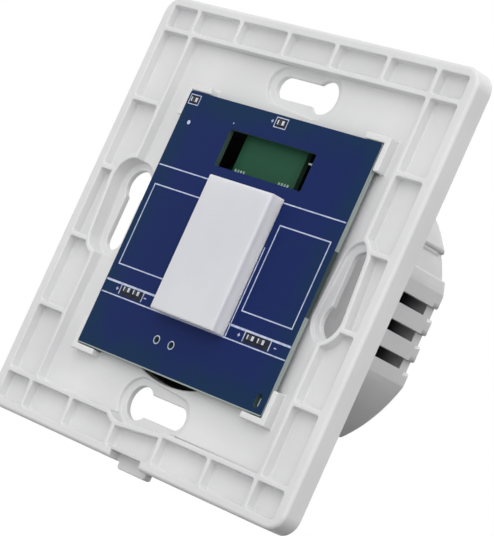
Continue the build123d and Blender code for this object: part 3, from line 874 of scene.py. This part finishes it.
class FlatMarks:
    """Thin marks gathered in one mesh on a face that looks along -Y. Sizes and places in millimetres."""

    ROUND_STEPS = 28

    def __init__(self, face_y: float, rise: float) -> None:
        """Start with no marks.

        Args:
            face_y: Y of the face.
            rise: thickness of the marks.
        """
        self.mesh = bmesh.new()
        self.back = face_y * MM
        self.front = (face_y - rise) * MM

    def _prism(self, outline: list[Place]) -> None:
        """Add a closed prism.

        Args:
            outline: its corners, counter-clockwise as seen from the front.
        """
        rings = []
        for depth in (self.front, self.back):
            rings.append([self.mesh.verts.new((x * MM, depth, z * MM)) for x, z in outline])
        front, back = rings
        count = len(outline)
        self.mesh.faces.new(front)
        self.mesh.faces.new(back[::-1])
        for index in range(count):
            after = (index + 1) % count
            self.mesh.faces.new((front[after], front[index], back[index], back[after]))

    def bar(self, left: float, low: float, right: float, high: float) -> None:
        """Add a rectangle."""
        self._prism([(left, low), (right, low), (right, high), (left, high)])

    def line(self, left: float, right: float, z: float, width: float) -> None:
        """Add a level line of the given width."""
        self.bar(left, z - width / 2, right, z + width / 2)

    def post(self, x: float, low: float, high: float, width: float) -> None:
        """Add an upright line of the given width."""
        self.bar(x - width / 2, low, x + width / 2, high)

    def box(self, left: float, low: float, right: float, high: float, width: float) -> None:
        """Add the outline of a rectangle.

        Args:
            left: X of the left line.
            low: Z of the lower line.
            right: X of the right line.
            high: Z of the upper line.
            width: width of the lines.
        """
        half = width / 2
        self.line(left - half, right + half, high, width)
        self.line(left - half, right + half, low, width)
        self.post(left, low + half, high - half, width)
        self.post(right, low + half, high - half, width)

    def disc(self, x: float, z: float, radius: float) -> None:
        """Add a round dot."""
        turns = [2 * pi * step / self.ROUND_STEPS for step in range(self.ROUND_STEPS)]
        self._prism([(x + radius * cos(turn), z + radius * sin(turn)) for turn in turns])

    def ring(self, x: float, z: float, inner: float, outer: float) -> None:
        """Add a flat ring as a row of short arcs.

        Args:
            x: X of the middle.
            z: Z of the middle.
            inner: radius of the hole.
            outer: radius of the rim.
        """
        step = 2 * pi / self.ROUND_STEPS
        for index in range(self.ROUND_STEPS):
            ends = (index * step, (index + 1) * step)
            inside = [(x + inner * cos(turn), z + inner * sin(turn)) for turn in ends]
            outside = [(x + outer * cos(turn), z + outer * sin(turn)) for turn in ends]
            self._prism([inside[0], outside[0], outside[1], inside[1]])

    def plus(self, x: float, z: float, half: float, width: float) -> None:
        """Add a plus sign.

        Args:
            x: X of the middle.
            z: Z of the middle.
            half: half the length of its bars.
            width: width of its bars.
        """
        self.line(x - half, x + half, z, width)
        self.post(x, z + width / 2, z + half, width)
        self.post(x, z - half, z - width / 2, width)


@dataclass
class FrameMoulding:
    """White base frame."""

    edge: float = 0.27 * MM

    def build(self, bench: MeshBench) -> None:
        """Make the frame with rounded ribs and rims.

        Args:
            bench: bench that makes the pieces.
        """
        white = bench.finishes.frame_white
        bench.soften("base_frame", "frame_moulding", self.edge, white, Body.SWITCH.value)
        bench.dress("housing_screws", bench.finishes.zinc)


@dataclass
class LampRow:
    """Printed marks round one row of lamps, in millimetres."""

    plus_x: float
    first_tick: float
    last_tick: float
    minus_x: float
    middle_z: float


@dataclass
class TouchBoard:
    """Blue touch board with its print, rings and white cap. Places and sizes of the print in millimetres."""

    face: float = -4.2
    print_rise: float = 0.03
    bed_share: float = 0.5
    ring_rise: float = 0.05
    thin: float = 0.22
    thick: float = 0.38
    box_line: float = 0.16
    upper_line_z: float = 10.2
    upper_lines: tuple[Place, ...] = ((-23.8, -6.6), (10.4, 26.3))
    zones: tuple[Box, ...] = ((-22.6, -9.05, -9.6, 6.55), (11.95, -9.4, 24.9, 6.35))
    thick_line_z: float = -12.27
    thin_line_z: float = -14.65
    lower_lines: tuple[Place, ...] = ((-23.85, -6.6), (10.4, 26.46))
    cover_line: tuple[float, float, float] = (10.72, -14.6, 2.0)
    rows: tuple[LampRow, ...] = field(default_factory=lambda: (
        LampRow(-20.15, -19.3, -12.9, -12.15, -13.35),
        LampRow(13.7, 15.0, 21.7, 23.1, -13.4),
    ))
    tick_half: float = 0.85
    sign_half: float = 0.3
    sign_share: float = 0.8
    status_boxes: tuple[Box, ...] = ((-23.6, 22.26, -20.9, 24.05), (0.0, 22.4, 3.0, 24.2))
    status_plus: Place = (-0.8, 23.3)
    dots: tuple[tuple[float, float, float], ...] = ((-21.2, 18.9, 0.4), (-9.9, 21.0, 0.14))
    holes: tuple[Place, ...] = ((-4.8, -19.25), (-0.8, -19.25))
    hole_ring: Place = (0.62, 0.802)
    cover_edge: float = 0.12 * MM

    def build(self, bench: MeshBench) -> None:
        """Make the print, the rings and the cap, and dress the board.

        Args:
            bench: bench that makes the pieces.
        """
        finishes = bench.finishes
        bench.dress("touch_board", finishes.touch_resist)
        bench.dress("touch_chip", finishes.black_plastic)
        bench.dress("zone_leds", finishes.lamp)
        bench.dress("status_leds", finishes.lamp)
        body = Body.SWITCH.value
        bench.piece("board_print", self.print_marks().mesh, finishes.print_ink, body)
        bench.piece("lamp_beds", self.lamp_beds().mesh, finishes.lamp_bed, body)
        bench.piece("hole_rings", self.rings().mesh, finishes.print_ink, body)
        bench.soften("centre_cover", "centre_cap", self.cover_edge, finishes.cover_white, body)

    def print_marks(self) -> FlatMarks:
        """Draw the lines, zone outlines, ticks, signs and dots.

        Returns:
            The marks.
        """
        marks = FlatMarks(self.face, self.print_rise)
        for left, right in self.upper_lines:
            marks.line(left, right, self.upper_line_z, self.thin)
        for zone in self.zones:
            marks.box(*zone, self.thin)
        for left, right in self.lower_lines:
            marks.line(left, right, self.thick_line_z, self.thick)
        marks.line(self.lower_lines[0][0], self.lower_lines[-1][1], self.thin_line_z, self.thin)
        marks.post(*self.cover_line, self.thin)
        for row in self.rows:
            self.row_marks(marks, row)
        for box in self.status_boxes:
            marks.box(*box, self.box_line)
        marks.plus(*self.status_plus, self.sign_half, self.thin * self.sign_share)
        for dot in self.dots:
            marks.disc(*dot)
        return marks

    def row_marks(self, marks: FlatMarks, row: LampRow) -> None:
        """Add the ticks and signs of one row of lamps.

        Args:
            marks: marks to add to.
            row: places of the row.
        """
        top = self.thick_line_z - self.thick / 2
        for x in (row.first_tick, row.last_tick):
            marks.post(x, row.middle_z - self.tick_half, top, self.thin)
        width = self.thin * self.sign_share
        marks.plus(row.plus_x, row.middle_z, self.sign_half, width)
        marks.line(row.minus_x - self.sign_half, row.minus_x + self.sign_half, row.middle_z, width)

    def lamp_beds(self) -> FlatMarks:
        """Draw the dark fields under the lamps.

        Returns:
            The marks.
        """
        marks = FlatMarks(self.face, self.print_rise * self.bed_share)
        inset = self.box_line / 2
        for left, low, right, high in self.status_boxes:
            marks.bar(left + inset, low + inset, right - inset, high - inset)
        inset = self.thin / 2
        for row in self.rows:
            marks.bar(row.first_tick + inset, row.middle_z - self.tick_half, row.last_tick - inset,
                      self.thick_line_z - self.thick / 2)
        return marks

    def rings(self) -> FlatMarks:
        """Draw the pale rings round the plated holes.

        Returns:
            The marks.
        """
        marks = FlatMarks(self.face, self.ring_rise)
        for x, z in self.holes:
            marks.ring(x, z, *self.hole_ring)
        return marks


@dataclass
class RadioModule:
    """Green radio board behind the window. Sizes and places in millimetres."""

    face: float = -1.9
    rise: float = 0.04
    line: Place = (-7.4, 8.2)
    line_z: float = 12.75
    line_width: float = 0.16
    pad_z: Place = (13.1, 13.75)
    pad_width: float = 0.42
    pad_pitch: float = 0.75
    pad_starts: Place = (-7.1, 4.6)
    pads_each: int = 4
    lead: tuple[float, float, float] = (9.6, 11.0, 18.3)
    lead_width: float = 0.34

    def build(self, bench: MeshBench) -> None:
        """Dress the radio board and add its pads and its lead.

        Args:
            bench: bench that makes the pieces.
        """
        finishes = bench.finishes
        bench.dress("radio_board", finishes.green_resist)
        bench.dress("radio_shield", finishes.tin)
        bench.dress("radio_pins", finishes.gold)
        marks = FlatMarks(self.face, self.rise)
        low, high = self.pad_z
        for start in self.pad_starts:
            for index in range(self.pads_each):
                left = start + index * self.pad_pitch
                marks.bar(left, low, left + self.pad_width, high)
        marks.line(*self.line, self.line_z, self.line_width)
        marks.line(*self.lead, self.lead_width)
        bench.piece("radio_marks", marks.mesh, finishes.pale_ink, Body.SWITCH.value)


@dataclass
class RearUnit:
    """Rear housing with the power board, its parts and the clamps."""

    housing_edge: float = 0.25 * MM
    block_edge: float = 0.12 * MM
    vent_x: float = 23.2 * MM
    vent_y: float = 6.8 * MM
    vent_z: float = 9.0 * MM

    def by_vents(self, place: Vector) -> bool:
        """Whether a place is at the vents in the flanks, where the cut edges are crisp."""
        return abs(place.x) > self.vent_x and place.y > self.vent_y and abs(place.z) < self.vent_z

    def build(self, bench: MeshBench) -> None:
        """Make the housing and the block with rounded edges, and dress what they hold.

        Args:
            bench: bench that makes the pieces.
        """
        finishes = bench.finishes
        body = Body.SWITCH.value
        bench.soften("rear_housing", "housing_moulding", self.housing_edge, finishes.housing_white, body,
                     spared=self.by_vents)
        bench.soften("terminal_block", "terminal_moulding", self.block_edge, finishes.terminal_grey, body,
                     1)
        inner = {
            "power_board": finishes.power_resist,
            "relay_left": finishes.relay_blue,
            "relay_right": finishes.relay_blue,
            "capacitor": finishes.sleeve,
            "transformer": finishes.ferrite,
            "fuse": finishes.ceramic,
            "varistor": finishes.dipped_blue,
            "contact_bars": finishes.brass,
            "link_header": finishes.black_plastic,
            "link_socket": finishes.black_plastic,
            "link_pins": finishes.gold,
        }
        for node, material in inner.items():
            bench.dress(node, material)
        for way in WAYS:
            bench.dress(f"terminal_screw_{way}", finishes.zinc)
            bench.dress(f"clamp_cage_{way}", finishes.zinc)


def outward(azimuth: float, elevation: float) -> Vector:
    """Direction from the switch to a place round it.

    Args:
        azimuth: degrees to the right of straight ahead.
        elevation: degrees above the level.

    Returns:
        Unit vector.
    """
    around, above = radians(azimuth), radians(elevation)
    return Vector((sin(around) * cos(above), -cos(around) * cos(above), sin(above)))


@dataclass(frozen=True)
class PhotoCamera:
    """Camera of the photograph, given by what it looks at and from which side.

    Aim, distance and lens are in millimetres, turns in degrees.
    """

    aim: tuple[float, float, float] = (8.726, -4.2, -2.301)
    distance: float = 444.97
    azimuth: float = 47.693
    elevation: float = -4.488
    roll: float = 24.282
    lens: float = 176.616

    def build(self) -> None:
        """Make the camera and give it to the scene."""
        azimuth, roll = radians(self.azimuth), radians(self.roll)
        back = outward(self.azimuth, self.elevation)
        level = Vector((cos(azimuth), sin(azimuth), 0.0))
        upright = back.cross(level)
        right = level * cos(roll) + upright * sin(roll)
        up = back.cross(right)
        data = bpy.data.cameras.new("photo_camera")
        data.lens = self.lens
        made = bpy.data.objects.new("photo_camera", data)
        turn = Matrix((right, up, back)).transposed().to_4x4()
        made.matrix_world = Matrix.Translation((Vector(self.aim) + back * self.distance) * MM) @ turn
        bpy.context.scene.collection.objects.link(made)
        bpy.context.scene.camera = made


@dataclass(frozen=True)
class SoftSun:
    """Broad distant lamp, given by the side that it shines from, in degrees."""

    name: str
    azimuth: float
    elevation: float
    strength: float
    angle: float

    def build(self) -> None:
        """Make the lamp."""
        data = bpy.data.lights.new(self.name, "SUN")
        data.energy = self.strength
        data.angle = radians(self.angle)
        made = bpy.data.objects.new(self.name, data)
        made.rotation_mode = "QUATERNION"
        made.rotation_quaternion = outward(self.azimuth, self.elevation).to_track_quat("Z", "Y")
        bpy.context.scene.collection.objects.link(made)


@dataclass
class Studio:
    """Pale floor, white surround and soft light."""

    floor_drop: float = 60 * MM
    floor_half: float = 4.0
    floor_glow: float = 1.08
    floor_pale: Rgb = (0.9, 0.9, 0.9)
    floor_shadow: float = 0.3
    floor_front: Rgb = (0.8, 0.8, 0.8)
    floor_behind: Rgb = (0.02, 0.02, 0.02)
    front_x: Place = (700 * MM, 350 * MM)
    front_y: Place = (-40 * MM, -95 * MM)
    white: Rgb = (1.0, 1.0, 1.0)
    low_light: float = 0.05
    level_light: float = 0.76
    sky_span: Place = (-0.5, 0.15)
    key: SoftSun = SoftSun("key", 45.0, 26.0, 1.5, 80.0)
    rear: SoftSun = SoftSun("rear", 190.0, 25.0, 0.8, 20.0)

    def build(self) -> None:
        """Make the floor, the surround and the lamps."""
        self.floor()
        self.world()
        self.key.build()
        self.rear.build()
        bpy.context.scene.view_settings.view_transform = "Standard"

    def floor(self) -> None:
        """White floor well below the switch, which keeps a faint shadow."""
        level = CAD_BOX[0].z - self.floor_drop
        reach = self.floor_half
        mesh = bpy.data.meshes.new("floor")
        corners = [(-reach, -reach), (reach, -reach), (reach, reach), (-reach, reach)]
        mesh.from_pydata([(x, y, level) for x, y in corners], [], [(0, 1, 2, 3)])
        made = bpy.data.objects.new("floor", mesh)
        bpy.context.scene.collection.objects.link(made)
        mesh.materials.append(self.floor_material())

    def seen(self, bench: NodeBench) -> bpy.types.NodeSocket:
        """1 for what the eye sees directly, in a reflection or through glass.

        Args:
            bench: bench of the floor or the surround.

        Returns:
            Socket with the mask.
        """
        path = bench.add("ShaderNodeLightPath").outputs
        mirrored = bench.math("MAXIMUM", path["Is Glossy Ray"], path["Is Transmission Ray"])
        return bench.math("MAXIMUM", path["Is Camera Ray"], mirrored)

    def floor_material(self) -> bpy.types.Material:
        """White where it is seen; where it only throws light back it is pale in front and dark behind.

        Returns:
            The material.
        """
        material = bpy.data.materials.new("floor_white")
        material.use_nodes = True
        bench = NodeBench(material.node_tree)
        bench.tree.nodes.remove(bench.tree.nodes["Principled BSDF"])
        glow = {"Color": self.white, "Strength": self.floor_glow}
        white = bench.add("ShaderNodeEmission", glow).outputs[0]
        pale = bench.add("ShaderNodeBsdfDiffuse", {"Color": self.floor_pale}).outputs[0]
        x, y, _ = bench.axes()
        across = bench.span(bench.math("ABSOLUTE", x), *self.front_x)
        front = bench.math("MULTIPLY", across, bench.span(y, *self.front_y))
        tone = bench.blend(front, self.floor_behind, self.floor_front)
        dim = bench.add("ShaderNodeEmission", {"Color": tone}).outputs[0]
        shadowed = bench.add("ShaderNodeMixShader", {0: self.floor_shadow, 1: white, 2: pale}).outputs[0]
        shown = bench.add("ShaderNodeMixShader", {0: self.seen(bench), 1: dim, 2: shadowed}).outputs[0]
        bench.put(bench.tree.nodes["Material Output"].inputs["Surface"], shown)
        return material

    def world(self) -> None:
        """White surround that lights more from above than from below."""
        world = bpy.data.worlds.new("surround")
        world.use_nodes = True
        bpy.context.scene.world = world
        bench = NodeBench(world.node_tree)
        outlook = bench.add("ShaderNodeTexCoord").outputs["Generated"]
        up = bench.add("ShaderNodeSeparateXYZ", {0: outlook}).outputs[2]
        rise = self.level_light - self.low_light
        light = bench.math("MULTIPLY_ADD", bench.span(up, *self.sky_span), rise, self.low_light)
        soft = bench.add("ShaderNodeBackground", {"Color": self.white, "Strength": light}).outputs[0]
        white = bench.add("ShaderNodeBackground", {"Color": self.white, "Strength": 1.0}).outputs[0]
        shown = bench.add("ShaderNodeMixShader", {0: self.seen(bench), 1: soft, 2: white}).outputs[0]
        bench.put(bench.tree.nodes["World Output"].inputs["Surface"], shown)


def main() -> None:
    """Build the switch, its camera and its studio."""
    logging.basicConfig(level=logging.INFO, format="%(name)s %(message)s")
    PhotoCamera().build()
    Studio().build()
    bench = MeshBench(Finishes())
    for part in (FrameMoulding(), TouchBoard(), RadioModule(), RearUnit()):
        part.build(bench)
        LOG.info("%s is built", type(part).__name__)


if __name__ == "__main__":
    main()
